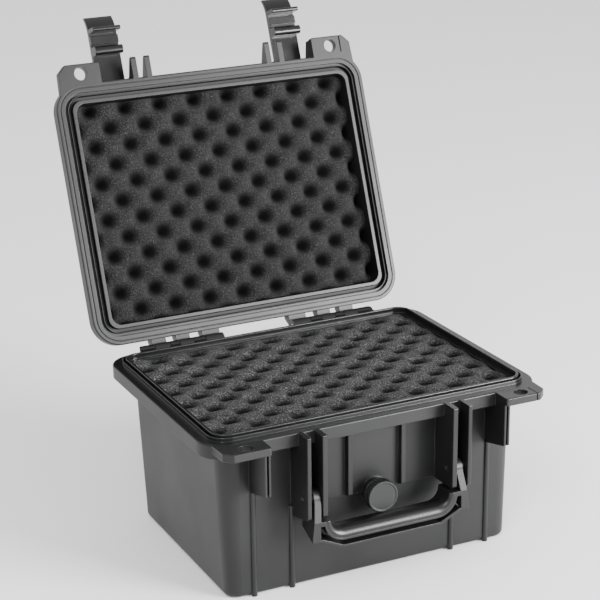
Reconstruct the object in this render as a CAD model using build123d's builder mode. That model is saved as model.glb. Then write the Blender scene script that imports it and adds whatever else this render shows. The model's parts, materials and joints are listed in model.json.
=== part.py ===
"""Hard equipment case with a hinged lid, two latches, a bail handle and a purge valve.

Millimetres, +Z up, X across the front, the front at -Y.  The origin is the centre of the
case's flat underside.  The lid and what it carries are drawn closed and then swung open
about the hinge, because the case is stored standing open.
"""

from build123d import *
from math import radians, tan
import os

os.makedirs("parts", exist_ok=True)

# ---------------------------------------------------------------- driving dimensions
case_width = 270.0        # over the rim, X
case_depth = 210.0        # over the rim, Y
base_height = 128.0       # underside to the base's ledge
lid_height = 46.0         # lid's parting face to its top
wall = 3.0
draft = 1.94              # degrees, on every outer and inner wall
lid_open_angle = 110.0    # the hinge stops here

rim_height = 10.0         # band round the mouth of the base and of the lid
rim_radius = 22.0         # its corners in plan
wall_inset = 15.0         # rim to the base's wall, just under the rim
tub_radius = 14.0         # corners of the base's wall there
bottom_radius = 4.0       # edge round the underside
lid_wall_inset = 14.0     # rim to the lid's wall
lid_wall_radius = 11.0
lid_top_radius = 7.0      # edge round the lid's top
mouth_inset = 16.0        # rim to the opening
mouth_radius = 8.0
parting_gap = 0.4         # closed lid stands this far off the base

tongue_inset = 10.4       # rim to the base's sealing tongue
tongue_width = 2.2
tongue_height = 4.5
dust_lip_inset = 7.7      # a thin lip outside the tongue
dust_lip_width = 1.0
dust_lip_height = 3.0
channel_side_gap = 0.6    # lid's channels are this much wider than tongue and lip, each side
seal_thickness = 2.0      # gasket in the tongue's channel
seal_clearance = 0.4      # gasket to the tongue, and lip to its channel
line_inset = 3.0          # fine line round the lid's parting face
line_size = 0.7

pin_radius = 2.0          # every steel pin
pin_recess = 0.8          # pin ends lie below the surface round them
pin_fit = 0.05            # running clearance, radial
seat_fit = 0.02           # clearance where a pin or a bush is held
swing_gap = 0.6           # beside every swinging piece

hinge_out = 8.6           # hinge axis behind the rim
hinge_down = 3.8          # and below the ledge
hinge_barrel = 5.2
hinge_start = 31.0        # from the middle to a hinge's inner end
hinge_widths = (15.5, 9.5, 12.0, 7.5, 12.5, 13.0)   # knuckles outward: lid, base, lid ...
hinge_gap = 0.5           # between neighbouring knuckles
hinge_corner = 9.0        # rounded outer corner of the last knuckle

inner_rib_x = 52.4        # big upright ribs in pairs, with a handle arm between each pair
inner_rib_thick = 4.0
outer_rib_x = 64.7
outer_rib_thick = 3.2
rib_out = 14.0            # ribs stand this far beyond the rim
rib_drop = 12.0           # handle pin to their lower front corner
gusset_x = 96.2           # web under each padlock tab
gusset_thick = 4.8
gusset_drop = 38.4        # ledge to its foot
gusset_groove = (1.5, 10.0)   # width and depth of the groove down the web's front
gusset_slope = 7.0        # foot of the outer ribs and webs falls this much towards the wall

tab_end_x = 128.5         # padlock tabs, beyond the gussets
tab_out = 16.0
tab_thick = 6.0
tab_chamfer = 6.0
tab_slot_x = 119.6
tab_slot_width = 0.8
tab_slot_length = 14.0
padlock_x = 110.2
padlock_out = 8.0
padlock_radius = 5.25

ridge_radius = 2.2        # half-round ridges down the front and back walls
panel_out = 2.0           # middle panel stands proud of the wall
panel_drop = 13.0         # handle pin to its foot
panel_rib_x = 21.7
panel_rib_thick = 4.0
panel_rib_out = 8.0       # rim to the front of a panel rib, inwards
panel_rib_drop = 11.0

fin_thick = 4.6           # lid fins, above the base's ribs
fin_out = 17.0
inner_fin_x = 52.9
outer_fin_x = 64.6
fin_rise = 11.0

latch_pivot_in = 3.5      # latch pin, inside the rim's front
latch_pivot_up = 15.6     # and above the lid's parting face
latch_barrel = 5.5
latch_inner_x = 67.5
latch_width = 23.5
latch_plate_in = 5.0      # pin to the plate's inner face
latch_plate = 3.6
latch_length = 59.5
catch_clearance = 0.7     # catch bar below the base's rim when the latch is shut
catch_thick = 7.0
catch_reach = 10.0
stand_off_at = 45.5       # thin bar near the tip, from the pin
stand_off_thick = 3.4
stand_off_reach = 12.0
tip_rise = 8.0

handle_pivot_out = 3.0    # handle pins, beyond the rim's front
handle_pivot_down = 50.0  # and below the ledge
handle_arm_end = 7.0      # rounded end of an arm
handle_arm_thick = 5.3
handle_arm_lean = 3.6     # arms spread outwards this much towards the bottom
handle_arm_rise = 7.5     # and their undersides rise this much towards the back
handle_drop = 38.5        # pin to the underside of the handle
handle_depth = 19.0
handle_front_out = 10.4   # pin to the handle's front
handle_corner_drop = 31.0 # pin to the handle's square outer corner
handle_heel = 57.0        # where the slope from that corner starts, from the middle
handle_toe = 41.0         # and ends
handle_bridge_drop = 15.8 # pin to the top of the bridges between arms and grip
handle_bridge = 3.5       # their height
grip_drop = 31.5          # pin to the seat of the grip
grip_thick = 4.8
grip_curve = 15.0
grip_reach = 52.5         # middle to the outside of the grip's curved ends
grip_rounding = (3.2, 1.4)    # its upper and lower edges
handle_flange = 1.6
pocket_depth = 15.0

knob_drop = 13.5          # handle pin to the purge valve
knob_radius = 12.4
knob_thick = 6.5
knob_face_in = 0.5        # knob's face, inside the rim's front
knob_grooves = 40
boss_radius = 10.5
valve_screw_radius = 3.0
bush_radius = 5.5
nut_flats = 15.0
nut_thick = 3.0
valve_seal_section = 1.3  # radius of the ring's section
valve_seal_gap = 0.1      # ring to the boss

foam_clearance = 0.4      # foam to the walls
foam_gap = 0.3            # between foam layers
foam_floor_pad = 12.0
foam_sheet = 32.3         # top sheet, up to its peaks
foam_above_ledge = 0.6    # top sheet's peaks
lid_foam_recess = 6.0     # lid foam, behind the parting face

# ---------------------------------------------------------------- places that follow
slope = tan(radians(draft))
half_depth = case_depth / 2
under_rim = base_height - rim_height
lid_face = base_height + parting_gap
lid_rim_top = lid_face + rim_height
lid_top = lid_face + lid_height
hinge_y = half_depth + hinge_out
hinge_z = base_height - hinge_down
hinge_axis = Axis((0, hinge_y, hinge_z), (1, 0, 0))
latch_y = -(half_depth - latch_pivot_in)
latch_z = lid_face + latch_pivot_up
handle_y = -(half_depth + handle_pivot_out)
handle_z = base_height - handle_pivot_down
rib_bottom = handle_z - rib_drop
gusset_bottom = base_height - gusset_drop
panel_bottom = handle_z - panel_drop
panel_rib_bottom = handle_z - panel_rib_drop
knob_z = handle_z - knob_drop
sides = (-1, 1)


def wall_front(z):
    """Y of the base's front wall at height z."""
    return -(half_depth - wall_inset - (under_rim - z) * slope)


def plan(inset, radius, mode=Mode.ADD):
    """The rim's rounded rectangle, drawn in by an inset."""
    RectangleRounded(case_width - 2 * inset, case_depth - 2 * inset, radius, mode=mode)


def band(inset, width):
    """A closed band that runs parallel to the rim."""
    plan(inset, rim_radius - inset)
    plan(inset + width, rim_radius - inset - width, mode=Mode.SUBTRACT)


def facing_down(z):
    """A level plane at height z whose normal points down."""
    return Plane(origin=(0, 0, z), x_dir=(1, 0, 0), z_dir=(0, 0, -1))


def facing_front(y, z=0.0):
    """An upright plane at depth y whose normal points to the front; local x is X, y is Z."""
    return Plane(origin=(0, y, z), x_dir=(1, 0, 0), z_dir=(0, -1, 0))


def upright(x, thickness, outline, rounding=0.0):
    """A plate across X, from its side outline of (y, z) points, its front corners rounded."""
    with BuildPart() as plate:
        with BuildSketch(Plane.YZ.offset(x)):
            with BuildLine():
                Polyline(*outline, close=True)
            make_face()
        extrude(amount=thickness / 2, both=True)
        if rounding:
            fillet(plate.faces().sort_by(Axis.Y)[0].edges(), radius=rounding)
    return plate.part


def cross_pin(x_from, x_to, y, z, radius=pin_radius):
    """A round pin along X."""
    with BuildPart() as pin:
        with BuildSketch(Plane.YZ.offset(x_from)):
            with Locations((y, z)):
                Circle(radius)
        extrude(amount=x_to - x_from)
        chamfer(pin.edges().filter_by(GeomType.CIRCLE), length=0.4)
    return pin.part


def span(side, near, far):
    """The two X values between distances near and far from the middle, in order."""
    return (side * near, side * far) if side > 0 else (side * far, side * near)


def write(part, name):
    part.label = name
    export_step(part, f"parts/{name}.step")


# ---------------------------------------------------------------- hinge knuckles
def knuckles(kind):
    """(side, near, far, is_last) for the knuckles of the lid (kind 0) or the base (kind 1)."""
    places = []
    for side in sides:
        near = hinge_start
        for number, width in enumerate(hinge_widths):
            if number % 2 == kind:
                is_last = number == len(hinge_widths) - 1
                places.append((side, near, near + width, is_last))
            near += width + hinge_gap
    return places


hinge_end = hinge_start + sum(hinge_widths) + hinge_gap * (len(hinge_widths) - 1)


def knuckle(side, near, far, arm, is_last, bore):
    """One knuckle: a barrel on the hinge axis and the arm that joins it to its rim."""
    x_from, x_to = span(side, near, far)
    with BuildPart() as piece:
        with BuildSketch(Plane.YZ.offset(x_from)):
            with BuildLine():
                Polyline(*arm, close=True)
            make_face()
            with Locations((hinge_y, hinge_z)):
                Circle(hinge_barrel)
        extrude(amount=x_to - x_from)
        if is_last:
            reach = hinge_y + hinge_barrel
            with BuildSketch(Plane.XY.offset(hinge_z - 2 * hinge_barrel)):
                with BuildLine():
                    inner, outer = side * near, side * far
                    start = half_depth - wall_inset
                    Line((inner, start), (inner, reach))
                    Line((inner, reach), (outer - side * hinge_corner, reach))
                    middle = hinge_corner * (1 - 2 ** -0.5)
                    ThreePointArc((outer - side * hinge_corner, reach),
                                  (outer - side * middle, reach - middle),
                                  (outer, reach - hinge_corner))
                    Line((outer, reach - hinge_corner), (outer, start))
                    Line((outer, start), (inner, start))
                make_face()
            extrude(amount=4 * hinge_barrel, mode=Mode.INTERSECT)
        with BuildSketch(Plane.YZ.offset(x_from)):
            with Locations((hinge_y, hinge_z)):
                Circle(bore)
        extrude(amount=x_to - x_from, mode=Mode.SUBTRACT)
    return piece.part


base_arm = [
    (half_depth - rim_radius / 4, base_height - 0.5),
    (hinge_y, hinge_z + hinge_barrel - 1.5),
    (hinge_y, hinge_z - hinge_barrel + 0.5),
    (half_depth - rim_radius / 4, under_rim + 1.0),
]
lid_arm = [
    (half_depth - rim_radius / 4, lid_face + 0.3),
    (hinge_y - hinge_barrel + 1.0, lid_face + 0.3),
    (hinge_y, hinge_z),
    (hinge_y + hinge_barrel - 0.8, hinge_z + 1.5),
    (half_depth + 2.0, lid_rim_top - 0.8),
    (half_depth - rim_radius / 4, lid_rim_top - 0.8),
]


# ---------------------------------------------------------------- padlock tabs
def padlock_tab(side, z_low):
    """A flat tab beside the front corner, with a padlock hole; the right one has a slot."""
    front = -(half_depth + tab_out)
    back = -(half_depth - rim_radius)
    inner = gusset_x - gusset_thick / 2
    with BuildPart() as tab:
        with BuildSketch(Plane.XY.offset(z_low)):
            with BuildLine():
                Polyline((side * inner, back), (side * inner, front),
                         (side * (tab_end_x - tab_chamfer), front),
                         (side * tab_end_x, front + tab_chamfer),
                         (side * (tab_end_x + 1.5), back), close=True)
            make_face()
        extrude(amount=tab_thick)
        corners = tab.edges().filter_by(Axis.Z).group_by(Axis.Y)[0]
        fillet(corners, radius=1.5)
        chamfer(tab.faces().sort_by(Axis.Y)[0].edges().filter_by(Axis.X), length=0.5)
        with BuildSketch(Plane.XY.offset(z_low)):
            with Locations((side * padlock_x, -(half_depth + padlock_out))):
                Circle(padlock_radius)
            if side > 0:
                with Locations((tab_slot_x, front + tab_slot_length / 2)):
                    Rectangle(tab_slot_width, tab_slot_length)
        extrude(amount=tab_thick, mode=Mode.SUBTRACT)
    return tab.part


# ---------------------------------------------------------------- base shell
rib_top = base_height
rib_front = -(half_depth + rib_out)
rib_root = wall_front(under_rim) + 1.0
inner_rib = [
    (rib_root, rib_top), (rib_front, rib_top),
    (rib_front + (rib_top - rib_bottom) * slope, rib_bottom),
    (rib_front + 4.0, rib_bottom - 2.0), (rib_root + 3.0, rib_bottom - 2.0),
]
outer_rib = [
    (rib_root, rib_top), (rib_front, rib_top),
    (rib_front + (rib_top - rib_bottom) * slope, rib_bottom),
    (rib_front + 4.0, rib_bottom - 2.0),
    (rib_root + 3.0, rib_bottom - 2.0 - gusset_slope),
]
gusset = [
    (rib_root, rib_top), (rib_front + 0.8, rib_top),
    (rib_front + 0.8 + (rib_top - gusset_bottom) * slope, gusset_bottom),
    (rib_root + 2.0, gusset_bottom - gusset_slope),
]
panel_rib_front = -(half_depth - panel_rib_out)
panel_rib = [
    (rib_root, under_rim + 1.0), (panel_rib_front, under_rim + 1.0),
    (panel_rib_front + (under_rim - panel_rib_bottom) * slope, panel_rib_bottom),
    (wall_front(panel_rib_bottom) + 1.0, panel_rib_bottom - 3.0),
]


knob_face = -(half_depth - knob_face_in)
knob_back = knob_face + knob_thick
boss_face = knob_back + 2 * valve_seal_section + seat_fit + valve_seal_gap

with BuildPart() as base_shell:
    with BuildSketch(facing_down(under_rim)):
        plan(wall_inset, tub_radius)
    extrude(amount=under_rim, taper=draft)
    fillet(base_shell.faces().sort_by(Axis.Z)[0].edges(), radius=bottom_radius)
    # ridges, drawn as slanted rods along the walls
    for side in sides:
        for x, z_top in ((gusset_x, gusset_bottom), (outer_rib_x + 1.3, rib_bottom)):
            for face in (-1, 1):
                top = z_top if face < 0 else under_rim
                rod = Plane(origin=(side * x, face * -wall_front(0), 0),
                            x_dir=(1, 0, 0), z_dir=(0, face * slope, 1))
                with BuildSketch(rod):
                    Circle(ridge_radius)
                extrude(amount=top)
    # rim, ledge and tongue
    with BuildSketch(Plane.XY.offset(under_rim)):
        plan(0, rim_radius)
    extrude(amount=rim_height)
    rim_edges = base_shell.faces().sort_by(Axis.Z)[-1].edges()
    fillet(rim_edges, radius=1.0)
    for inset, width, height in ((dust_lip_inset, dust_lip_width, dust_lip_height),
                                 (tongue_inset, tongue_width, tongue_height)):
        with BuildSketch(Plane.XY.offset(base_height)):
            band(inset, width)
        extrude(amount=height)
        fillet(base_shell.faces().sort_by(Axis.Z)[-1].edges(), radius=width * 0.35)
    # front: ribs, webs, tabs, middle panel and the boss of the purge valve
    for side in sides:
        add(upright(side * inner_rib_x, inner_rib_thick, inner_rib, 0.6))
        add(upright(side * outer_rib_x, outer_rib_thick, outer_rib, 0.6))
        add(upright(side * gusset_x, gusset_thick, gusset, 0.5))
        groove_width, groove_depth = gusset_groove
        groove = [
            (rib_front, base_height - tab_thick), (rib_front, gusset_bottom - gusset_slope),
            (rib_front + groove_depth + 2.0, gusset_bottom - gusset_slope),
            (rib_front + groove_depth, base_height - tab_thick),
        ]
        add(upright(side * gusset_x, groove_width, groove), mode=Mode.SUBTRACT)
        add(padlock_tab(side, base_height - tab_thick))
        add(upright(side * panel_rib_x, panel_rib_thick, panel_rib, 0.5))
    panel = [
        (rib_root + 3.0, under_rim + 1.0),
        (wall_front(under_rim) - panel_out, under_rim + 1.0),
        (wall_front(panel_bottom) - panel_out, panel_bottom),
        (rib_root + 3.0, panel_bottom - panel_out),
    ]
    add(upright(0, 2 * inner_rib_x, panel))
    with BuildSketch(facing_front(wall_front(knob_z) + 1.0, knob_z)):
        Circle(boss_radius)
    extrude(amount=wall_front(knob_z) + 1.0 - boss_face)
    fillet(base_shell.faces().filter_by(Axis.Y).filter_by(GeomType.PLANE)
           .filter_by(lambda f: abs(f.center().Y - boss_face) < 0.01).edges(), radius=0.8)
    # hinge knuckles
    for side, near, far, is_last in knuckles(1):
        add(knuckle(side, near, far, base_arm, is_last, pin_radius + seat_fit))
    # the hollow: a drafted tub under a straight mouth
    with BuildSketch(facing_down(under_rim)):
        plan(wall_inset + wall, tub_radius - wall)
    extrude(amount=under_rim - wall, taper=draft, mode=Mode.SUBTRACT)
    with BuildSketch(Plane.XY.offset(under_rim - 0.01)):
        plan(mouth_inset, mouth_radius)
    extrude(amount=rim_height + tongue_height + 1.0, mode=Mode.SUBTRACT)
    # holes for the handle pins and the valve bush
    with BuildSketch(Plane.YZ.offset(-(outer_rib_x + outer_rib_thick))):
        with Locations((handle_y, handle_z)):
            Circle(pin_radius + seat_fit)
    extrude(amount=2 * (outer_rib_x + outer_rib_thick), mode=Mode.SUBTRACT)
    with BuildSketch(facing_front(rib_root + 6.0, knob_z)):
        Circle(bush_radius + seat_fit)
    extrude(amount=rib_root + 6.0 - boss_face + 1.0, mode=Mode.SUBTRACT)
    split(bisect_by=Plane.XY, keep=Keep.TOP)

write(base_shell.part, "base_shell")

# ---------------------------------------------------------------- lid shell, drawn closed
fin_tip = -(half_depth + fin_out)
lid_root = -(half_depth - lid_wall_inset) + 1.0
inner_fin = [
    (lid_root, lid_face), (fin_tip + 1.5, lid_face), (fin_tip, lid_face + 1.3),
    (fin_tip + 1.2, lid_face + 3.2), (-half_depth - 2.0, lid_face + fin_rise),
    (lid_root, lid_face + fin_rise + 9.0),
]
ear_top = latch_z + latch_barrel
outer_fin = [
    (lid_root, lid_face), (fin_tip + 1.5, lid_face), (fin_tip, lid_face + 1.3),
    (fin_tip + 1.2, lid_face + 3.2), (-half_depth - 2.2, lid_face + fin_rise),
    (latch_y - latch_barrel + 0.6, latch_z + 1.5), (latch_y - 2.5, ear_top - 0.6),
    (latch_y + 3.0, ear_top), (lid_root, ear_top + 1.0),
]
lid_gusset = [
    (lid_root, lid_face), (-(half_depth + tab_out - 1.2), lid_face),
    (-(half_depth + tab_out - 1.2), lid_face + 11.0),
    (-half_depth - 2.0, latch_z + 1.5), (latch_y - 2.5, ear_top - 0.6),
    (latch_y + 3.0, ear_top), (lid_root, ear_top + 1.0),
]
channel_inset = tongue_inset - channel_side_gap
channel_width = tongue_width + 2 * channel_side_gap
channel_top = base_height + tongue_height + seal_clearance + seal_thickness + seat_fit

with BuildPart() as lid_shell:
    with BuildSketch(Plane.XY.offset(lid_rim_top)):
        plan(lid_wall_inset, lid_wall_radius)
    extrude(amount=lid_height - rim_height, taper=draft)
    fillet(lid_shell.faces().sort_by(Axis.Z)[-1].edges(), radius=lid_top_radius)
    for side in sides:
        for x in (gusset_x, outer_rib_x + 1.3):
            for face in (-1, 1):
                rod = Plane(origin=(side * x, face * (half_depth - lid_wall_inset), lid_rim_top),
                            x_dir=(1, 0, 0), z_dir=(0, -face * slope, 1))
                with BuildSketch(rod):
                    Circle(ridge_radius)
                extrude(amount=lid_height - rim_height - lid_top_radius)
    # raised panel on top
    with BuildSketch(Plane.XY.offset(lid_top - 0.5)):
        RectangleRounded(case_width - 90.0, case_depth - 80.0, 12.0)
        RectangleRounded(case_width - 98.0, case_depth - 88.0, 8.0, mode=Mode.SUBTRACT)
    extrude(amount=1.5, mode=Mode.SUBTRACT)
    with BuildSketch(Plane.XY.offset(lid_face)):
        plan(0, rim_radius)
    extrude(amount=rim_height)
    fillet(lid_shell.faces().sort_by(Axis.Z)[0].edges(), radius=1.0)
    for side in sides:
        add(upright(side * inner_fin_x, fin_thick, inner_fin))
        add(upright(side * outer_fin_x, fin_thick, outer_fin))
        add(upright(side * gusset_x, gusset_thick, lid_gusset))
        add(padlock_tab(side, lid_face))
    for side, near, far, is_last in knuckles(0):
        add(knuckle(side, near, far, lid_arm, is_last, pin_radius + pin_fit))
    # the hollow, the channels for tongue and lip, and a fine line round the parting face
    with BuildSketch(Plane.XY.offset(lid_face)):
        plan(mouth_inset, mouth_radius)
    extrude(amount=lid_height - wall, taper=draft, mode=Mode.SUBTRACT)
    lip_channel = dust_lip_width + 2 * channel_side_gap
    lip_channel_top = base_height + dust_lip_height + seal_clearance
    for inset, width, top in ((channel_inset, channel_width, channel_top),
                              (dust_lip_inset - channel_side_gap, lip_channel, lip_channel_top),
                              (line_inset, line_size, lid_face + line_size)):
        with BuildSketch(Plane.XY.offset(lid_face)):
            band(inset, width)
        extrude(amount=top - lid_face, mode=Mode.SUBTRACT)
    # bores for the latch pins
    with BuildSketch(Plane.YZ.offset(-(gusset_x + gusset_thick))):
        with Locations((latch_y, latch_z)):
            Circle(pin_radius + seat_fit)
    extrude(amount=2 * (gusset_x + gusset_thick), mode=Mode.SUBTRACT)

write(lid_shell.part.rotate(hinge_axis, -lid_open_angle), "lid_shell")

with BuildPart() as lid_gasket:
    with BuildSketch(Plane.XY.offset(channel_top - seat_fit - seal_thickness)):
        band(channel_inset + seat_fit, channel_width - 2 * seat_fit)
    extrude(amount=seal_thickness)
    fillet(lid_gasket.faces().sort_by(Axis.Z)[0].edges(), radius=0.8)

write(lid_gasket.part.rotate(hinge_axis, -lid_open_angle), "lid_gasket")

lid_foam_face = lid_face + lid_foam_recess
with BuildPart() as lid_foam:
    inset = mouth_inset + foam_clearance + lid_foam_recess * slope
    with BuildSketch(Plane.XY.offset(lid_foam_face)):
        plan(inset, mouth_radius - foam_clearance)
    extrude(amount=lid_top - wall - foam_clearance - lid_foam_face, taper=draft)

write(lid_foam.part.rotate(hinge_axis, -lid_open_angle), "lid_foam")

# ---------------------------------------------------------------- latches and their pins
catch_at = latch_pivot_up + parting_gap + rim_height + catch_clearance


def latch(side):
    """A latch flipped open: it points to the front, level, from its pin."""
    x_from, x_to = span(side, latch_inner_x, latch_inner_x + latch_width)
    plate_in = latch_z + latch_plate_in
    plate_out = plate_in + latch_plate
    tip_y = latch_y - latch_length
    bend_y = tip_y + 13.0
    with BuildPart() as piece:
        with BuildSketch(Plane.YZ.offset(x_from)):
            with BuildLine():
                back = latch_y + 3.0
                Line((back, plate_in - 1.0), (back, plate_out - 1.0))
                Line((back, plate_out - 1.0), (back - 2.0, plate_out))
                Line((back - 2.0, plate_out), (bend_y, plate_out))
                ThreePointArc((bend_y, plate_out), (bend_y - 7.5, plate_out + 1.9),
                              (tip_y, plate_out + tip_rise - latch_plate + 1.0))
                Line((tip_y, plate_out + tip_rise - latch_plate + 1.0),
                     (tip_y - 0.4, plate_in + tip_rise - 1.2))
                ThreePointArc((tip_y - 0.4, plate_in + tip_rise - 1.2),
                              (bend_y - 5.5, plate_in + 1.4), (bend_y + 3.0, plate_in))
                Line((bend_y + 3.0, plate_in), (back, plate_in - 1.0))
            make_face()
            with Locations((latch_y, latch_z)):
                Circle(latch_barrel)
            bars = ((catch_at, catch_thick, catch_reach),
                    (stand_off_at, stand_off_thick, stand_off_reach))
            for at, thick, reach in bars:
                with Locations((latch_y - at - thick / 2, plate_in - reach / 2 + 0.5)):
                    Rectangle(thick, reach + 1.0)
            with Locations((latch_y - catch_at - catch_thick - 6.0, plate_in - 0.9)):
                Rectangle(6.6, 2.4)
        extrude(amount=x_to - x_from)
        ends = piece.faces().filter_by(Axis.Z).filter_by(GeomType.PLANE)
        for at, thick, reach in bars:
            face = ends.filter_by(lambda f: abs(f.center().Z - (plate_in - reach)) < 0.01)
            fillet(face.edges().filter_by(Axis.X), radius=thick * 0.42)
        with BuildSketch(Plane.XY.offset(plate_in - 0.1)):
            with Locations((x_from + latch_width * 0.68, latch_y - 15.5)):
                RectangleRounded(latch_width * 0.52, 18.0, 1.5)
        extrude(amount=1.3, mode=Mode.SUBTRACT)
        with BuildSketch(Plane.YZ.offset(x_from)):
            with Locations((latch_y, latch_z)):
                Circle(pin_radius + pin_fit)
        extrude(amount=x_to - x_from, mode=Mode.SUBTRACT)
    return piece.part


side_names = {-1: "left", 1: "right"}
for side in sides:
    name = side_names[side]
    write(latch(side).rotate(hinge_axis, -lid_open_angle), f"latch_{name}")
    x_from, x_to = span(side, outer_fin_x - fin_thick / 2 + pin_recess,
                        gusset_x + gusset_thick / 2 - pin_recess)
    pin = cross_pin(x_from, x_to, latch_y, latch_z)
    write(pin.rotate(hinge_axis, -lid_open_angle), f"latch_pin_{name}")
    x_from, x_to = span(side, hinge_start, hinge_end - 3.0)
    write(cross_pin(x_from, x_to, hinge_y, hinge_z), f"hinge_pin_{name}")
    x_from, x_to = span(side, inner_rib_x - inner_rib_thick / 2 + pin_recess,
                        outer_rib_x + outer_rib_thick / 2 - pin_recess)
    write(cross_pin(x_from, x_to, handle_y, handle_z), f"handle_pin_{name}")

# ---------------------------------------------------------------- handle
arm_inner = inner_rib_x + inner_rib_thick / 2 + swing_gap
arm_outer = arm_inner + handle_arm_thick
arm_top = handle_z + handle_arm_end
lean_top = handle_z - 2.0
handle_front = handle_y - handle_front_out
handle_back = handle_front + handle_depth
handle_base = handle_z - handle_drop
corner_z = handle_z - handle_corner_drop
seat_z = handle_z - grip_drop
curve_z = seat_z + grip_curve
curve_x = grip_reach - grip_curve
bridge_top = handle_z - handle_bridge_drop
bridge_low = bridge_top - handle_bridge


def arm_spread(z):
    """How far the arms have spread outwards at height z."""
    return handle_arm_lean * (lean_top - z) / (lean_top - corner_z)


def both_sides(points):
    """A line of right-hand (x, z) points, carried round to the left-hand side."""
    return points + [(-x, z) for x, z in reversed(points)]


def grip_line(offset):
    """The line of the grip's seat: down, round, across, round and up, drawn in by an offset."""
    radius = grip_curve - offset
    bend = radius * 2 ** -0.5
    Line((-curve_x - radius, bridge_top), (-curve_x - radius, curve_z))
    ThreePointArc((-curve_x - radius, curve_z), (-curve_x - bend, curve_z - bend),
                  (-curve_x, curve_z - radius))
    Line((-curve_x, curve_z - radius), (curve_x, curve_z - radius))
    ThreePointArc((curve_x, curve_z - radius), (curve_x + bend, curve_z - bend),
                  (curve_x + radius, curve_z))
    Line((curve_x + radius, curve_z), (curve_x + radius, bridge_top))


with BuildPart() as handle_frame:
    # the outline seen from the front: arms, bridges, and the bar below the grip
    with BuildSketch(facing_front(handle_back)):
        with BuildLine():
            outside = [
                (arm_outer, arm_top), (arm_outer, lean_top),
                (arm_outer + arm_spread(corner_z + 3.0), corner_z + 3.0),
                (arm_outer + arm_spread(corner_z + 3.0), corner_z),
                (handle_heel, corner_z), (handle_toe, handle_base),
            ]
            Polyline(*both_sides(outside))
            for side in sides:
                Polyline((side * arm_outer, arm_top), (side * arm_inner, arm_top),
                         (side * arm_inner, lean_top),
                         (side * (arm_inner + arm_spread(bridge_top)), bridge_top),
                         (side * grip_reach, bridge_top))
            grip_line(0)
        make_face()
    extrude(amount=handle_depth)
    # the outline seen from the side: round about the pins, then widening to the grip
    with BuildSketch(Plane.YZ.offset(-(arm_outer + handle_arm_lean))):
        with Locations((handle_y, handle_z)):
            Circle(handle_arm_end)
        with BuildLine():
            Polyline((handle_y - handle_arm_end, handle_z), (handle_front, bridge_top),
                     (handle_front, handle_base), (handle_back, handle_base),
                     (handle_back, bridge_top), (handle_y + handle_arm_end, handle_z), close=True)
        make_face()
    extrude(amount=2 * (arm_outer + handle_arm_lean), mode=Mode.INTERSECT)
    # deep pocket in the front, between the arms, the grip's seat and the outer flange
    with BuildSketch(facing_front(handle_front + pocket_depth)):
        with BuildLine():
            low = corner_z + handle_flange
            toe = handle_base + handle_flange
            reach = arm_inner + arm_spread(bridge_low)
            pocket = [(reach, bridge_low), (reach, low),
                      (handle_heel - handle_flange, low), (handle_toe - handle_flange, toe)]
            Polyline(*both_sides(pocket), close=True)
        make_face()
        radius = grip_curve + handle_flange
        with Locations((0, curve_z + 1.0)):
            RectangleRounded(2 * (curve_x + radius), 2 * (radius + 1.0), radius,
                             mode=Mode.SUBTRACT)
    extrude(amount=pocket_depth + 1.0, mode=Mode.SUBTRACT)
    # rising undersides of the arms, and the holes for the pins
    for side in sides:
        rise = [(handle_front, corner_z), (handle_back + 1.0, corner_z + handle_arm_rise),
                (handle_back + 1.0, handle_base), (handle_front, handle_base)]
        add(upright(side * (handle_heel + handle_arm_thick), 2 * handle_arm_thick, rise),
            mode=Mode.SUBTRACT)
    with BuildSketch(Plane.YZ.offset(-arm_outer)):
        with Locations((handle_y, handle_z)):
            Circle(pin_radius + pin_fit)
    extrude(amount=2 * arm_outer, mode=Mode.SUBTRACT)

write(handle_frame.part, "handle_frame")

with BuildPart() as handle_grip:
    with BuildSketch(facing_front(handle_back)):
        with BuildLine():
            grip_line(seat_fit)
            grip_line(grip_thick)
            for side in sides:
                Line((side * (grip_reach - seat_fit), bridge_top),
                     (side * (grip_reach - grip_thick), bridge_top))
        make_face()
    extrude(amount=handle_depth)
    upper, lower = grip_rounding
    for face_y, radius in ((handle_front, upper), (handle_back, lower)):
        top_edges = handle_grip.edges().filter_by(
            lambda e: abs(e.center().Y - face_y) < 0.01
            and (abs(e.center().Z - seat_z - grip_thick) < 0.01
                 or e.geom_type == GeomType.CIRCLE
                 and abs(e.radius - grip_curve + grip_thick) < 0.01
                 or abs(abs(e.center().X) - grip_reach + grip_thick) < 0.01))
        fillet(top_edges, radius=radius)

write(handle_grip.part, "handle_grip")

# ---------------------------------------------------------------- purge valve
nut_back = wall_front(knob_z - nut_flats * 0.6) + wall + seat_fit
bush_end = nut_back + nut_thick + 0.6

with BuildPart() as purge_knob:
    with BuildSketch(facing_front(knob_back, knob_z)):
        Circle(knob_radius)
        with PolarLocations(knob_radius + 0.25, knob_grooves):
            Circle(0.62, mode=Mode.SUBTRACT)
    extrude(amount=knob_thick)
    with BuildSketch(facing_front(knob_face, knob_z)):
        Circle(knob_radius - 1.4)
    extrude(amount=0.5)
    with BuildSketch(facing_front(knob_back, knob_z)):
        Circle(valve_screw_radius + seat_fit)
    extrude(amount=knob_thick - 2.0, mode=Mode.SUBTRACT)

write(purge_knob.part, "purge_knob")

with BuildPart() as valve_screw:
    with BuildSketch(facing_front(bush_end + 1.0, knob_z)):
        Circle(valve_screw_radius)
    extrude(amount=bush_end + 1.0 - (knob_back - knob_thick + 2.0 + seat_fit))

write(valve_screw.part, "valve_screw")

with BuildPart() as valve_seal:
    ring_y = knob_back + valve_seal_section + seat_fit
    ring_radius = valve_screw_radius + valve_seal_section + seat_fit
    with BuildSketch(Plane.YZ):
        with Locations((ring_y, knob_z + ring_radius)):
            Circle(valve_seal_section)
    revolve(axis=Axis((0, 0, knob_z), (0, 1, 0)), revolution_arc=360)

write(valve_seal.part, "valve_seal")

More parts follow.
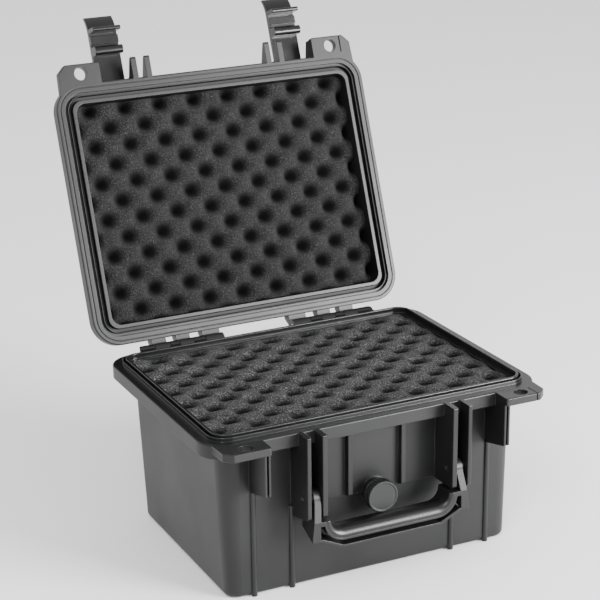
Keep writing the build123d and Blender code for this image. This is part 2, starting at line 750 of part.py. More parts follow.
with BuildPart() as valve_bush:
    with BuildSketch(facing_front(bush_end, knob_z)):
        Circle(bush_radius)
        Circle(valve_screw_radius + pin_fit, mode=Mode.SUBTRACT)
    extrude(amount=bush_end - boss_face)

write(valve_bush.part, "valve_bush")

with BuildPart() as valve_nut:
    with BuildSketch(facing_front(nut_back + nut_thick, knob_z)):
        RegularPolygon(nut_flats / 2, 6, major_radius=False)
        Circle(bush_radius + seat_fit, mode=Mode.SUBTRACT)
    extrude(amount=nut_thick)

write(valve_nut.part, "valve_nut")


# ---------------------------------------------------------------- foam in the base
def foam_layer(z_low, z_high):
    """A block that follows the drafted walls between two heights."""
    inset = wall_inset + wall + foam_clearance + (under_rim - z_high) * slope
    with BuildPart() as layer:
        with BuildSketch(facing_down(z_high)):
            plan(inset, tub_radius - wall - foam_clearance)
        extrude(amount=z_high - z_low, taper=draft)
    return layer.part


floor_top = wall + foam_clearance
pad_top = floor_top + foam_floor_pad
sheet_top = base_height + foam_above_ledge
upper_top = sheet_top - foam_sheet - foam_gap
foam_block = (upper_top - pad_top) / 2 - foam_gap
lower_top = pad_top + foam_gap + foam_block

write(foam_layer(floor_top, pad_top), "foam_floor_pad")
write(foam_layer(pad_top + foam_gap, lower_top), "foam_block_lower")

with BuildPart() as foam_block_upper:
    add(foam_layer(lower_top + foam_gap, upper_top))
    # pocket that clears the valve's nut
    with BuildSketch(facing_front(bush_end + 3.0, knob_z)):
        Rectangle(nut_flats + 8.0, nut_flats + 6.0)
    extrude(amount=bush_end + 3.0 - (wall_front(knob_z)), mode=Mode.SUBTRACT)

write(foam_block_upper.part, "foam_block_upper")

# the top sheet widens where it comes up through the mouth
with BuildPart() as foam_top_sheet:
    add(foam_layer(upper_top + foam_gap, under_rim))
    with BuildSketch(Plane.XY.offset(under_rim + foam_clearance)):
        plan(mouth_inset + foam_clearance, mouth_radius - foam_clearance)
    extrude(amount=sheet_top - under_rim - foam_clearance)
    with BuildSketch(Plane.XY.offset(under_rim)):
        plan(wall_inset + wall + foam_clearance, tub_radius - wall - foam_clearance)
    extrude(amount=foam_clearance)

write(foam_top_sheet.part, "foam_top_sheet")
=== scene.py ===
"""The looks of a hard equipment case: moulded plastic, steel, rubber and egg-crate foam."""

import json
import math

import bpy
from mathutils import Matrix, Vector, noise


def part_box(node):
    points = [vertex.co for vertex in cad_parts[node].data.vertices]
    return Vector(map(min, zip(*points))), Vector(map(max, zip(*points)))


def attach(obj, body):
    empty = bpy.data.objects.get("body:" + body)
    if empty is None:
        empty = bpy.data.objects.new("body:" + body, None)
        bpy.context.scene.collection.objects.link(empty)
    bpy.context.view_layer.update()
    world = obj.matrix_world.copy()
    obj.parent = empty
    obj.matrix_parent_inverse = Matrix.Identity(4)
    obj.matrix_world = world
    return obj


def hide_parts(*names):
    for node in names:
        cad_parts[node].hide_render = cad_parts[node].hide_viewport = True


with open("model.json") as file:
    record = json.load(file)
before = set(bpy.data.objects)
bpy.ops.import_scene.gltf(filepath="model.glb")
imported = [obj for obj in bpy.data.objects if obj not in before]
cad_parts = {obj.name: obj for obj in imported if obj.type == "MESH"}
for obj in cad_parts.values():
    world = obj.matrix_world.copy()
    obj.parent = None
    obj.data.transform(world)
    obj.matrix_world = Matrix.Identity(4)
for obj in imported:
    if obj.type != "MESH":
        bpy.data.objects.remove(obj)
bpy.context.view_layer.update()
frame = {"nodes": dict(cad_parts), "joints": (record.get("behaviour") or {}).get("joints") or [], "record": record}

MM = 0.001

# ------------------------------------------------------------------ sizes and places
# the lid's foam is drawn in the shut lid, then turned open with it
hinge = next(j for j in frame["joints"] if j["name"] == "lid_hinge")
hinge_place = Vector(hinge["pos_m"])
lid_turn = Matrix.Rotation(-math.radians(hinge["range_deg"][1]), 4, "X")
lid_opening = Matrix.Translation(hinge_place) @ lid_turn @ Matrix.Translation(-hinge_place)

pit_sharpness = 3.9           # how narrow the pits are between the broad domes
foam_grid = 1.3 * MM          # spacing of the foam's surface points
painted_pit_shade = 0.97              # how much painted shade darkens the bottom of a pit
foam_roughness = 0.35 * MM    # how far the cut surface wanders
foam_wander_size = 7.0 * MM   # and over what distance
foam_smooth_angle = math.radians(50)

lid_foam_size = (236.4 * MM, 176.4 * MM)
lid_foam_corner = 8.0 * MM
lid_foam_peak = 134.2 * MM    # in the shut lid, the foam's highest points
lid_foam_back = 170.5 * MM
lid_pit_depth = 14.0 * MM
lid_dome_share = 0.34         # of that depth, the part that is gentle domes
lid_pit_pitch = (29.9 * MM, 29.5 * MM)
lid_pit_phase = (13.9 * MM, 5.1 * MM)

base_foam_corner = 7.0 * MM
base_foam_peak = 128.6 * MM
base_foam_back = 97.0 * MM
base_pit_depth = 9.0 * MM
base_dome_share = 0.16
base_pit_pitch = (32.0 * MM, 28.2 * MM)
base_pit_phase = (77.5 * MM, 12.7 * MM)

wall_draft = math.radians(1.94)   # the base's walls lean out this much
block_corner = 10.6 * MM      # the plain layers under the top sheet
block_edge = 2.0 * MM         # their worn edges
block_edge_power = 24         # higher keeps the wear nearer the edge
block_cuts = 27
block_wander = 0.5 * MM
block_wander_size = 9.0 * MM
nut_dent = 9.0 * MM           # how far the valve's nut presses into the foam
nut_dent_reach = 13.0 * MM    # from the nut's middle to where the dent fades
nut_dent_power = 8            # higher keeps the dent nearer the foam's front

knob_grooves = 40
knob_groove = 0.8 * MM        # their depth
knob_groove_points = 6        # points round each
knob_smooth_angle = math.radians(25)
knob_chamfer = 0.8 * MM       # round the knob's face
knob_ring = 1.0 * MM          # flat ring round its dished middle
knob_dish = 0.5 * MM
knob_skin = 0.1 * MM          # points this near the outside are grooved

grip_merge = 0.001 * MM       # nearer points than this are one
grip_cuts = 16                # strips from its front to its back
grip_smooth_angle = math.radians(35)
grip_bend = 15.0 * MM         # outer radius of the grip's curved ends
grip_thick = 4.8 * MM
grip_crown = 2.5 * MM         # how much fuller it is along its middle
grip_crown_end = 0.75         # the fullness ends this far back

edge_wear_and_highlight = 0.55              # how far an edge goes towards its paler tone, for rubbed wear and a painted highlight
scuff_wear = 0.18             # and a scuffed face
edge_polish = 0.12            # how much smoother a rubbed edge is
land_polish = 0.17            # and the base's sealing land
land_below_foam = 1.0 * MM    # that land starts this far below the foam's top
land_fade = 1.0 * MM          # and comes in over this height
smoother, rougher = 0.04, 0.05    # how far roughness wanders over a face
plastic_grain = 0.7 * MM
plastic_tint = 0.02
plastic_ior = 1.48
plastic_gloss = 0.34

foam_cell = 1.0 * MM
foam_cell_depth = 0.6 * MM
pore_shade = 0.85             # how far a pore goes towards its darker tone
pore_tone = 0.35              # that tone, as a share of the foam's own
painted_shade_from, painted_shade_to = 0.02, 0.42   # painted shade darkens a pit between these shares of its depth
# the tone of the painted shade at the bottom of a pit
painted_pit_shade_tone = 0.001
foam_rough = 0.95
foam_gloss = 0.2

steel_grain = 0.4 * MM
steel_grain_height = 0.01 * MM
steel_tones = (0.38, 0.5)
steel_rough = (0.25, 0.4)

camera_aim = Vector((-0.0133, 0.0014, 0.1864))
camera_distance = 1.4
camera_turn = -24.849         # degrees round from straight in front
camera_height = 18.352        # degrees above level
camera_roll = -1.518
camera_lens = 111.93
camera_sensor = 36.0

floor_size = 80.0
floor_drop = 0.4 * MM         # the floor lies this far below the case
floor_tone = 0.9
floor_rough = 0.9
sky_strength = 1.3
light_aim = (0.0, 0.0, 0.15)


# ------------------------------------------------------------------ mesh helpers
def start_clean():
    """Deselects everything, so that an operator acts only on the piece made next."""
    if bpy.context.object and bpy.context.object.mode != "OBJECT":
        bpy.ops.object.mode_set(mode="OBJECT")
    bpy.ops.object.select_all(action="DESELECT")


def finish_piece(piece, name, body, material):
    """Names a finished piece, gives it its finish and lets it ride on its body."""
    piece.name = name
    piece.data.name = name
    piece.data.materials.clear()
    piece.data.materials.append(material)
    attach(piece, body)


def rounded(x, y, half_x, half_y, corner):
    """Pulls a point of a sharp rectangle into one with round corners."""
    over_x = abs(x) - (half_x - corner)
    over_y = abs(y) - (half_y - corner)
    if over_x <= 0 or over_y <= 0:
        return x, y
    pull = max(over_x, over_y) / math.hypot(over_x, over_y)
    return (math.copysign(half_x - corner + over_x * pull, x),
            math.copysign(half_y - corner + over_y * pull, y))


def egg_crate(x, y, depth, domes, pitch, phase):
    """How far a point of egg-crate foam lies below its peaks, and how deep in a pit it is."""
    across = math.cos(2 * math.pi * (x - phase[0]) / pitch[0])
    along = math.cos(2 * math.pi * (y - phase[1]) / pitch[1])
    fall = (1 + across * along) / 2
    pit = fall ** pit_sharpness
    return depth * (domes * fall + (1 - domes) * pit), pit


def foam_sheet(size, back_size, corner, peak, back, depth, domes, pitch, phase, facing):
    """A block of foam with an egg-crate face at height peak; facing is 1 for up, -1 for down."""
    start_clean()
    half_x, half_y = size[0] / 2, size[1] / 2
    bpy.ops.mesh.primitive_grid_add(
        x_subdivisions=round(size[0] / foam_grid), y_subdivisions=round(size[1] / foam_grid),
        size=1.0)
    piece = bpy.context.object
    pits = [0.0] * len(piece.data.vertices)
    for vertex in piece.data.vertices:
        x, y = vertex.co.x * size[0], vertex.co.y * size[1]
        x, y = rounded(x, y, half_x, half_y, corner)
        wander = noise.noise(Vector((x, y, 0)) / foam_wander_size) * foam_roughness
        down, pits[vertex.index] = egg_crate(x, y, depth, domes, pitch, phase)
        vertex.co = (x, y, peak - facing * (down + foam_roughness + wander))
    piece.data.attributes.new("pit", "FLOAT", "POINT").data.foreach_set("value", pits)
    bpy.ops.object.mode_set(mode="EDIT")
    bpy.ops.mesh.select_all(action="DESELECT")
    bpy.ops.mesh.select_non_manifold()
    bpy.ops.mesh.extrude_region_move()
    bpy.ops.object.mode_set(mode="OBJECT")
    for vertex in piece.data.vertices:
        if vertex.select:
            vertex.co.x *= back_size[0] / size[0]
            vertex.co.y *= back_size[1] / size[1]
            vertex.co.z = back
    bpy.ops.object.mode_set(mode="EDIT")
    bpy.ops.mesh.edge_face_add()
    bpy.ops.mesh.select_all(action="SELECT")
    bpy.ops.mesh.normals_make_consistent(inside=False)
    bpy.ops.object.mode_set(mode="OBJECT")
    bpy.ops.object.shade_smooth_by_angle(angle=foam_smooth_angle)
    return piece


def foam_block(low, high, dent_at=None):
    """A plain layer of cut foam that narrows with the walls, pressed in where the nut meets it."""
    start_clean()
    bpy.ops.mesh.primitive_cube_add(size=2.0)
    block = bpy.context.object
    bpy.ops.object.mode_set(mode="EDIT")
    bpy.ops.mesh.subdivide(number_cuts=block_cuts)
    bpy.ops.object.mode_set(mode="OBJECT")
    half_height = (high[2] - low[2]) / 2
    middle = (high[2] + low[2]) / 2
    for vertex in block.data.vertices:
        side_x, side_y, side_z = vertex.co
        z = side_z * half_height
        narrower = (half_height - z) * math.tan(wall_draft)
        worn = block_edge * abs(side_z) ** block_edge_power
        half_x, half_y = high[0] - narrower - worn, high[1] - narrower - worn
        x, y = rounded(side_x * half_x, side_y * half_y, half_x, half_y, block_corner)
        wander = block_wander * (1 + noise.noise(Vector((x, y, z)) / block_wander_size))
        if dent_at is not None:
            away = math.hypot(x - dent_at[0], z + middle - dent_at[2]) / nut_dent_reach
            near_front = max(0.0, -side_y) ** nut_dent_power
            y += nut_dent * math.exp(-away ** 4) * near_front
        vertex.co = (x, y, middle + z * (1 - wander / half_height))
    bpy.ops.object.shade_smooth_by_angle(angle=foam_smooth_angle)
    return block


# ------------------------------------------------------------------ shader groups
def new_group(name, inputs, outputs):
    """An empty shader group; inputs are (name, type, value), outputs (name, type)."""
    group = bpy.data.node_groups.new(name, "ShaderNodeTree")
    for label, kind, value in inputs:
        socket = group.interface.new_socket(label, in_out="INPUT", socket_type=kind)
        socket.default_value = value
    for label, kind in outputs:
        group.interface.new_socket(label, in_out="OUTPUT", socket_type=kind)
    inside = group.nodes.new("NodeGroupInput")
    outside = group.nodes.new("NodeGroupOutput")
    return group, group.nodes, group.links, inside, outside


def node(nodes, kind, **settings):
    """A new node with its properties, and its inputs where the setting's name is an input's."""
    made = nodes.new(kind)
    for key, value in settings.items():
        if hasattr(made, key):
            setattr(made, key, value)
        else:
            made.inputs[key.replace("_", " ")].default_value = value
    return made


def remap(nodes, links, source, low, high, to_low=0.0, to_high=1.0):
    """source stretched so that low..high becomes to_low..to_high, clamped."""
    made = nodes.new("ShaderNodeMapRange")
    links.new(source, made.inputs["Value"])
    made.inputs["From Min"].default_value = low
    made.inputs["From Max"].default_value = high
    made.inputs["To Min"].default_value = to_low
    made.inputs["To Max"].default_value = to_high
    return made.outputs["Result"]


def math_node(nodes, links, operation, first, second):
    """The result of a sum on two values, each a number or another node's output."""
    made = nodes.new("ShaderNodeMath")
    made.operation = operation
    for socket, value in zip(made.inputs, (first, second)):
        if isinstance(value, (int, float)):
            socket.default_value = value
        else:
            links.new(value, socket)
    return made.outputs[0]


def mix_colour(nodes, links, factor, first, second):
    """first turning into second as factor goes from 0 to 1."""
    made = nodes.new("ShaderNodeMix")
    made.data_type = "RGBA"
    colour_sockets = made.inputs[0], made.inputs[6], made.inputs[7]
    for socket, value in zip(colour_sockets, (factor, first, second)):
        if isinstance(value, (tuple, float, int)):
            socket.default_value = value
        else:
            links.new(value, socket)
    return made.outputs[2]


def make_moulded_grain():
    """Fine spark-eroded grain of moulded plastic, with slow flow marks and faint scuffs."""
    group, nodes, links, inside, outside = new_group(
        "moulded_grain", [("Grain size", "NodeSocketFloat", plastic_grain)],
        [("Height", "NodeSocketFloat"), ("Mottle", "NodeSocketFloat"),
         ("Scuff", "NodeSocketFloat")])
    place = nodes.new("ShaderNodeTexCoord").outputs["Object"]
    finer = math_node(nodes, links, "DIVIDE", 1.0, inside.outputs["Grain size"])
    pebble = node(nodes, "ShaderNodeTexNoise", Detail=3.0, Roughness=0.6)
    links.new(place, pebble.inputs["Vector"])
    links.new(finer, pebble.inputs["Scale"])
    links.new(pebble.outputs[0], outside.inputs["Height"])
    flow = node(nodes, "ShaderNodeTexNoise", Scale=14.0, Detail=4.0, Roughness=0.55)
    links.new(place, flow.inputs["Vector"])
    links.new(remap(nodes, links, flow.outputs[0], low=0.32, high=0.68),
              outside.inputs["Mottle"])
    stretch = node(nodes, "ShaderNodeMapping")
    stretch.inputs["Scale"].default_value = (1.0, 0.35, 2.2)
    stretch.inputs["Rotation"].default_value = (0.5, 0.3, 0.7)
    links.new(place, stretch.inputs["Vector"])
    scratch = node(nodes, "ShaderNodeTexNoise", Scale=160.0, Detail=6.0, Roughness=0.7,
                   Distortion=0.6)
    links.new(stretch.outputs[0], scratch.inputs["Vector"])
    links.new(remap(nodes, links, scratch.outputs[0], low=0.60, high=0.78),
              outside.inputs["Scuff"])
    return group


def make_rounded_edges():
    """Softened normals at every edge, and a mask of how near an outer edge is."""
    group, nodes, links, inside, outside = new_group(
        "rounded_edges", [("Radius", "NodeSocketFloat", 0.5 * MM)],
        [("Normal", "NodeSocketVector"), ("Edge", "NodeSocketFloat")])
    bevel = node(nodes, "ShaderNodeBevel", samples=6)
    links.new(inside.outputs["Radius"], bevel.inputs["Radius"])
    links.new(bevel.outputs[0], outside.inputs["Normal"])
    flat = nodes.new("ShaderNodeNewGeometry")
    dot = node(nodes, "ShaderNodeVectorMath", operation="DOT_PRODUCT")
    links.new(bevel.outputs[0], dot.inputs[0])
    links.new(flat.outputs["Normal"], dot.inputs[1])
    links.new(remap(nodes, links, dot.outputs["Value"], low=0.995, high=0.80),
              outside.inputs["Edge"])
    return group


def make_open_cells():
    """Open-cell foam: fine pores, and where torn cell walls get painted glints."""
    group, nodes, links, inside, outside = new_group(
        "open_cells", [("Cell size", "NodeSocketFloat", foam_cell)],
        [("Height", "NodeSocketFloat"), ("Painted glint", "NodeSocketFloat"),
         ("Pore", "NodeSocketFloat"), ("Cloud", "NodeSocketFloat")])
    place = nodes.new("ShaderNodeTexCoord").outputs["Object"]
    finer = math_node(nodes, links, "DIVIDE", 1.0, inside.outputs["Cell size"])
    cells = node(nodes, "ShaderNodeTexVoronoi", Randomness=1.0)
    links.new(place, cells.inputs["Vector"])
    links.new(finer, cells.inputs["Scale"])
    fuzz = node(nodes, "ShaderNodeTexNoise", Detail=5.0, Roughness=0.75)
    links.new(place, fuzz.inputs["Vector"])
    links.new(finer, fuzz.inputs["Scale"])
    height = math_node(nodes, links, "ADD", cells.outputs["Distance"], fuzz.outputs[0])
    links.new(height, outside.inputs["Height"])
    # where the painted glints on torn cell walls go
    links.new(remap(nodes, links, fuzz.outputs[0], low=0.50, high=0.68),
              outside.inputs["Painted glint"])
    links.new(remap(nodes, links, cells.outputs["Distance"], low=0.15, high=0.75),
              outside.inputs["Pore"])
    cloud = node(nodes, "ShaderNodeTexNoise", Scale=90.0, Detail=3.0)
    links.new(place, cloud.inputs["Vector"])
    links.new(remap(nodes, links, cloud.outputs[0], low=0.3, high=0.7),
              outside.inputs["Cloud"])
    return group


moulded_grain = make_moulded_grain()
rounded_edges = make_rounded_edges()
open_cells = make_open_cells()


# ------------------------------------------------------------------ materials
def new_material(name):
    """A new material with its nodes, its links and its one shader."""
    material = bpy.data.materials.new(name)
    material.use_nodes = True
    nodes, links = material.node_tree.nodes, material.node_tree.links
    shader = next(n for n in nodes if n.type == "BSDF_PRINCIPLED")
    return material, nodes, links, shader


def place_group(nodes, group, **values):
    """A shader group placed in a material with that material's own values."""
    made = nodes.new("ShaderNodeGroup")
    made.node_tree = group
    for key, value in values.items():
        made.inputs[key.replace("_", " ")].default_value = value
    return made


def grey(value, tint=0.0):
    """A grey, a little towards blue for a positive tint."""
    return (value * (1 - tint), value, value * (1 + tint), 1.0)


def plastic(name, dark, light, rough, wear_and_highlight_tone, grain_height=0.04 * MM,
            edge_radius=0.7 * MM, smooth_above=None):
    """Moulded plastic between two tones, lighter at its edges for rubbed wear and a painted highlight.

    Above the height smooth_above it is as smooth as a sealing land.
    """
    material, nodes, links, shader = new_material(name)
    grain = place_group(nodes, moulded_grain, Grain_size=plastic_grain)
    edges = place_group(nodes, rounded_edges, Radius=edge_radius)
    tone = mix_colour(nodes, links, grain.outputs["Mottle"],
                      grey(dark, plastic_tint), grey(light, plastic_tint))
    # edges paled for rubbed wear and a painted highlight
    worn = math_node(nodes, links, "MULTIPLY", edges.outputs["Edge"], edge_wear_and_highlight)
    tone = mix_colour(nodes, links, worn, tone, grey(wear_and_highlight_tone, plastic_tint))
    faint = math_node(nodes, links, "MULTIPLY", grain.outputs["Scuff"], scuff_wear)
    tone = mix_colour(nodes, links, faint, tone, grey(wear_and_highlight_tone))
    links.new(tone, shader.inputs["Base Color"])
    polish = remap(nodes, links, grain.outputs["Mottle"], low=0.0, high=1.0,
                   to_low=rough - smoother, to_high=rough + rougher)
    shine = math_node(nodes, links, "MULTIPLY", edges.outputs["Edge"], edge_polish)
    polish = math_node(nodes, links, "SUBTRACT", polish, shine)
    if smooth_above:
        place = nodes.new("ShaderNodeTexCoord").outputs["Object"]
        apart = nodes.new("ShaderNodeSeparateXYZ")
        links.new(place, apart.inputs[0])
        land = remap(nodes, links, apart.outputs["Z"],
                     low=smooth_above - land_fade, high=smooth_above)
        shine = math_node(nodes, links, "MULTIPLY", land, land_polish)
        polish = math_node(nodes, links, "SUBTRACT", polish, shine)
    links.new(polish, shader.inputs["Roughness"])
    bump = node(nodes, "ShaderNodeBump", Strength=1.0, Distance=grain_height)
    links.new(grain.outputs["Height"], bump.inputs["Height"])
    links.new(edges.outputs["Normal"], bump.inputs["Normal"])
    links.new(bump.outputs[0], shader.inputs["Normal"])
    shader.inputs["IOR"].default_value = plastic_ior
    shader.inputs["Specular IOR Level"].default_value = plastic_gloss
    return material


def foam(name, dark, light, painted_glint_tone):
    """Open-cell foam, darker in its pores, with painted shade in its pits and painted glints on its cell walls."""
    material, nodes, links, shader = new_material(name)
    cells = place_group(nodes, open_cells, Cell_size=foam_cell)
    tone = mix_colour(nodes, links, cells.outputs["Cloud"], grey(dark), grey(light))
    pore = math_node(nodes, links, "MULTIPLY", cells.outputs["Pore"], pore_shade)
    tone = mix_colour(nodes, links, pore, tone, grey(dark * pore_tone))
    # painted glints on the cell walls
    tone = mix_colour(nodes, links, cells.outputs["Painted glint"], tone, grey(painted_glint_tone))
    # painted shade, darkest at the bottom of a pit
    pit = node(nodes, "ShaderNodeAttribute", attribute_name="pit")
    shade = remap(nodes, links, pit.outputs["Fac"], low=painted_shade_from, high=painted_shade_to,
                  to_high=painted_pit_shade)
    tone = mix_colour(nodes, links, shade, tone, grey(painted_pit_shade_tone))
    links.new(tone, shader.inputs["Base Color"])
    shader.inputs["Roughness"].default_value = foam_rough
    shader.inputs["Specular IOR Level"].default_value = foam_gloss
    bump = node(nodes, "ShaderNodeBump", Strength=1.0, Distance=foam_cell_depth)
    links.new(cells.outputs["Height"], bump.inputs["Height"])
    links.new(bump.outputs[0], shader.inputs["Normal"])
    return material


def steel_pin():
    """Drawn stainless steel."""
    material, nodes, links, shader = new_material("steel_pin")
    grain = place_group(nodes, moulded_grain, Grain_size=steel_grain)
    tone = mix_colour(nodes, links, grain.outputs["Mottle"], *map(grey, steel_tones))
    links.new(tone, shader.inputs["Base Color"])
    shader.inputs["Metallic"].default_value = 1.0
    polish = remap(nodes, links, grain.outputs["Mottle"], 0.0, 1.0, *steel_rough)
    links.new(polish, shader.inputs["Roughness"])
    bump = node(nodes, "ShaderNodeBump", Strength=1.0, Distance=steel_grain_height)
    links.new(grain.outputs["Height"], bump.inputs["Height"])
    links.new(bump.outputs[0], shader.inputs["Normal"])
    return material


# dark and light tone, roughness, and the tone of rubbed edges with a painted highlight
case_plastic = plastic("case_plastic", 0.005, 0.008, 0.40, 0.03)
base_plastic = plastic("base_plastic", 0.005, 0.008, 0.40, 0.03,
                       smooth_above=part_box("foam_top_sheet")[1][2] - land_below_foam)
latch_plastic = plastic("latch_plastic", 0.003, 0.005, 0.21, 0.03, grain_height=0.02 * MM)
grip_plastic = plastic("grip_plastic", 0.005, 0.007, 0.31, 0.03, grain_height=0.06 * MM)
# the knob's edges are painted paler still, a painted highlight on its grooves' crests
knob_plastic = plastic("knob_plastic", 0.008, 0.012, 0.42, 0.12, edge_radius=0.4 * MM)
seal_rubber = plastic("seal_rubber", 0.010, 0.016, 0.60, 0.02, grain_height=0.01 * MM,
                      edge_radius=0.2 * MM)
steel = steel_pin()
# dark and light tone, and the tone of the painted glints on cell walls
# one foam in both halves: the base's copy is painted lighter and glintier where light falls on it, and the lid's
# is painted darker in its shade
lid_foam_material = foam("shaded_lid_foam", 0.009, 0.014, 0.05)
base_foam_material = foam("lit_base_foam", 0.014, 0.024, 0.20)

node_finishes = {
    "shell_plastic": case_plastic,
    "latch_plastic": latch_plastic,
    "grip_plastic": grip_plastic,
    "knob_plastic": knob_plastic,
    "steel": steel,
    "seal_rubber": seal_rubber,
    "lid_foam": lid_foam_material,
    "base_foam": base_foam_material,
}
for subpart in frame["record"]["subparts"]:
    cad_node = frame["nodes"][subpart["node"]]
    cad_node.data.materials.clear()
    cad_node.data.materials.append(node_finishes[subpart["material_slot"]])
frame["nodes"]["base_shell"].data.materials[0] = base_plastic


# ------------------------------------------------------------------ egg-crate foam
lid_foam = foam_sheet(lid_foam_size, lid_foam_size, lid_foam_corner, lid_foam_peak, lid_foam_back,
                      lid_pit_depth, lid_dome_share, lid_pit_pitch, lid_pit_phase, facing=-1)
lid_foam.data.transform(lid_opening)
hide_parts("lid_foam")
finish_piece(lid_foam, "lid_egg_crate_foam", "lid", lid_foam_material)

sheet_low, sheet_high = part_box("foam_top_sheet")
block_low, block_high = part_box("foam_block_upper")
base_foam = foam_sheet((sheet_high[0] - sheet_low[0], sheet_high[1] - sheet_low[1]),
                       (block_high[0] - block_low[0], block_high[1] - block_low[1]),
                       base_foam_corner, base_foam_peak, base_foam_back,
                       base_pit_depth, base_dome_share, base_pit_pitch, base_pit_phase, facing=1)
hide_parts("foam_top_sheet")
finish_piece(base_foam, "base_egg_crate_foam", "base", base_foam_material)


# ------------------------------------------------------------------ grip
def crowned_grip():
    """The handle's grip with a soft, full upper side for the fingers."""
    start_clean()
    low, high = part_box("handle_grip")
    grip = frame["nodes"]["handle_grip"].copy()
    grip.data = grip.data.copy()
    bpy.context.collection.objects.link(grip)
    grip.parent = None
    grip.select_set(True)
    bpy.context.view_layer.objects.active = grip
    bpy.ops.object.mode_set(mode="EDIT")
    bpy.ops.mesh.select_all(action="SELECT")
    bpy.ops.mesh.remove_doubles(threshold=grip_merge)
    for cut in range(1, grip_cuts):
        bpy.ops.mesh.select_all(action="SELECT")
        bpy.ops.mesh.bisect(plane_co=(0, low[1] + (high[1] - low[1]) * cut / grip_cuts, 0),
                            plane_no=(0, 1, 0))
    bpy.ops.object.mode_set(mode="OBJECT")
    bend_x, bend_z = high[0] - grip_bend, low[2] + grip_bend
    for vertex in grip.data.vertices:
        x, y, z = vertex.co
        back = (y - low[1]) / (high[1] - low[1])
        swell = grip_crown * math.sin(math.pi * min(1.0, back / grip_crown_end))
        if abs(x) < bend_x:
            vertex.co.z += swell * (z - low[2]) / grip_thick
        elif z < bend_z:
            out_x, out_z = abs(x) - bend_x, bend_z - z
            reach = math.hypot(out_x, out_z)
            inwards = swell * (grip_bend - reach) / grip_thick * (out_z / reach) ** 2
            vertex.co.x -= math.copysign(inwards * out_x / reach, x)
            vertex.co.z += inwards * out_z / reach
    bpy.ops.object.shade_smooth_by_angle(angle=grip_smooth_angle)
    return grip


grip = crowned_grip()
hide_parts("handle_grip")
finish_piece(grip, "crowned_grip", "handle", grip_plastic)


# ------------------------------------------------------------------ knob
def knurled_knob():
    """The purge valve's knob: grooved all round, its face dished inside a narrow ring."""
    start_clean()
    low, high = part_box("purge_knob")
    middle = (low + high) / 2
    radius, depth = (high[0] - low[0]) / 2, high[1] - low[1] - knob_chamfer
    bpy.ops.mesh.primitive_cylinder_add(
        vertices=knob_groove_points * knob_grooves, radius=radius, depth=depth,
        rotation=(math.pi / 2, 0, 0), location=(middle[0], high[1] - depth / 2, middle[2]))
    knob = bpy.context.object
    bpy.ops.object.transform_apply(location=True, rotation=True, scale=True)
    bpy.ops.object.mode_set(mode="EDIT")
    bpy.ops.mesh.select_mode(type="FACE")
    bpy.ops.mesh.select_all(action="DESELECT")
    bpy.ops.object.mode_set(mode="OBJECT")
    for face in knob.data.polygons:
        face.select = face.normal.y < -0.9    # the knob's face
    bpy.ops.object.mode_set(mode="EDIT")
    bpy.ops.mesh.extrude_region_move(
        TRANSFORM_OT_translate={"value": (0, -knob_chamfer, 0)})
    shrink = 1 - knob_chamfer / radius
    bpy.ops.transform.resize(value=(shrink, 1, shrink), center_override=middle)
    bpy.ops.mesh.inset(thickness=knob_ring)
    bpy.ops.mesh.inset(thickness=knob_dish, depth=-knob_dish)
    bpy.ops.mesh.inset(thickness=radius / 2)
    bpy.ops.mesh.select_mode(type="VERT")
    bpy.ops.object.mode_set(mode="OBJECT")
    for vertex in knob.data.vertices:
        out = Vector((vertex.co.x - middle[0], 0, vertex.co.z - middle[2]))
        if out.length > radius - knob_skin:
            turn = math.atan2(out.z, out.x)
            sunk = knob_groove * (1 - math.cos(knob_grooves * turn)) / 2
            vertex.co -= out.normalized() * sunk
    bpy.ops.object.shade_smooth_by_angle(angle=knob_smooth_angle)
    return knob


knob = knurled_knob()
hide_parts("purge_knob")
finish_piece(knob, "knurled_knob", "valve_knob", knob_plastic)


# ------------------------------------------------------------------ plain foam layers
nut_low, nut_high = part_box("valve_nut")
for layer, dent_at in (("foam_floor_pad", None), ("foam_block_lower", None),
                       ("foam_block_upper", (nut_low + nut_high) / 2)):
    block = foam_block(*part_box(layer), dent_at)
    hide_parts(layer)
    finish_piece(block, f"cut_{layer}", "base", base_foam_material)


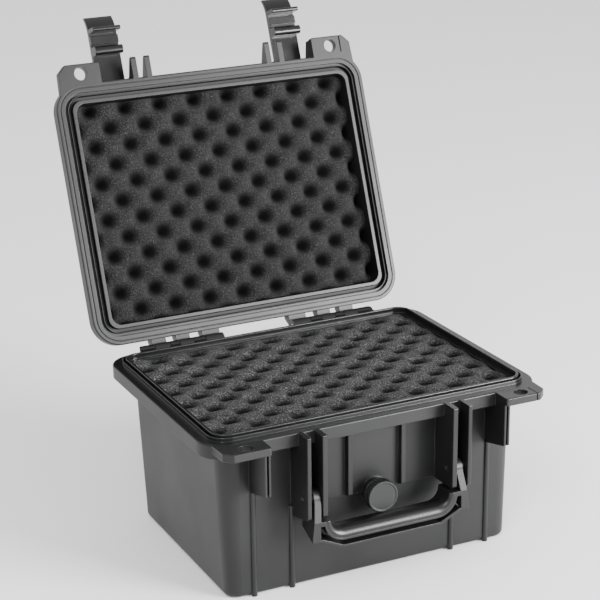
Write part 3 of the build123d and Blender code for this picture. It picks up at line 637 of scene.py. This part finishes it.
# ------------------------------------------------------------------ floor, light and camera
def make_floor():
    """A plain pale floor that reaches to the horizon."""
    start_clean()
    bpy.ops.mesh.primitive_plane_add(size=floor_size, location=(0, 0, -floor_drop))
    floor = bpy.context.object
    floor.name = "floor"
    material, _, _, shader = new_material("pale_floor")
    shader.inputs["Base Color"].default_value = grey(floor_tone)
    shader.inputs["Roughness"].default_value = floor_rough
    floor.data.materials.append(material)


def soft_box(name, place, size, power):
    """A square area light at a place, facing the case."""
    lamp = bpy.data.lights.new(name, "AREA")
    lamp.shape = "SQUARE"
    lamp.size = size
    lamp.energy = power
    holder = bpy.data.objects.new(name, lamp)
    bpy.context.collection.objects.link(holder)
    holder.location = place
    beam = Vector(light_aim) - Vector(place)
    holder.rotation_euler = beam.to_track_quat("-Z", "Y").to_euler()


def make_camera():
    """The scene's camera, turned round, raised and rolled about the point it aims at."""
    turn, height = math.radians(camera_turn), math.radians(camera_height)
    back = Vector((math.sin(turn) * math.cos(height), -math.cos(turn) * math.cos(height),
                   math.sin(height)))
    right = Vector((math.cos(turn), math.sin(turn), 0.0))
    up = back.cross(right)
    axes = Matrix((right, up, back)).transposed().to_4x4()
    roll = Matrix.Rotation(math.radians(camera_roll), 4, "Z")
    camera = bpy.data.objects.new("camera", bpy.data.cameras.new("camera"))
    camera.data.lens = camera_lens
    camera.data.sensor_width = camera_sensor
    camera.matrix_world = Matrix.Translation(camera_aim + back * camera_distance) @ axes @ roll
    bpy.context.collection.objects.link(camera)
    bpy.context.scene.camera = camera


def make_sky():
    """Even white light from all round."""
    world = bpy.data.worlds.new("studio")
    world.use_nodes = True
    background = world.node_tree.nodes["Background"]
    background.inputs["Color"].default_value = (1.0, 1.0, 1.0, 1.0)
    background.inputs["Strength"].default_value = sky_strength
    bpy.context.scene.world = world


make_floor()
make_sky()
soft_box("left_box", place=(-1.2, -1.5, 1.8), size=1.0, power=42.0)
soft_box("front_box", place=(1.4, -1.8, 0.6), size=1.1, power=210.0)
make_camera()
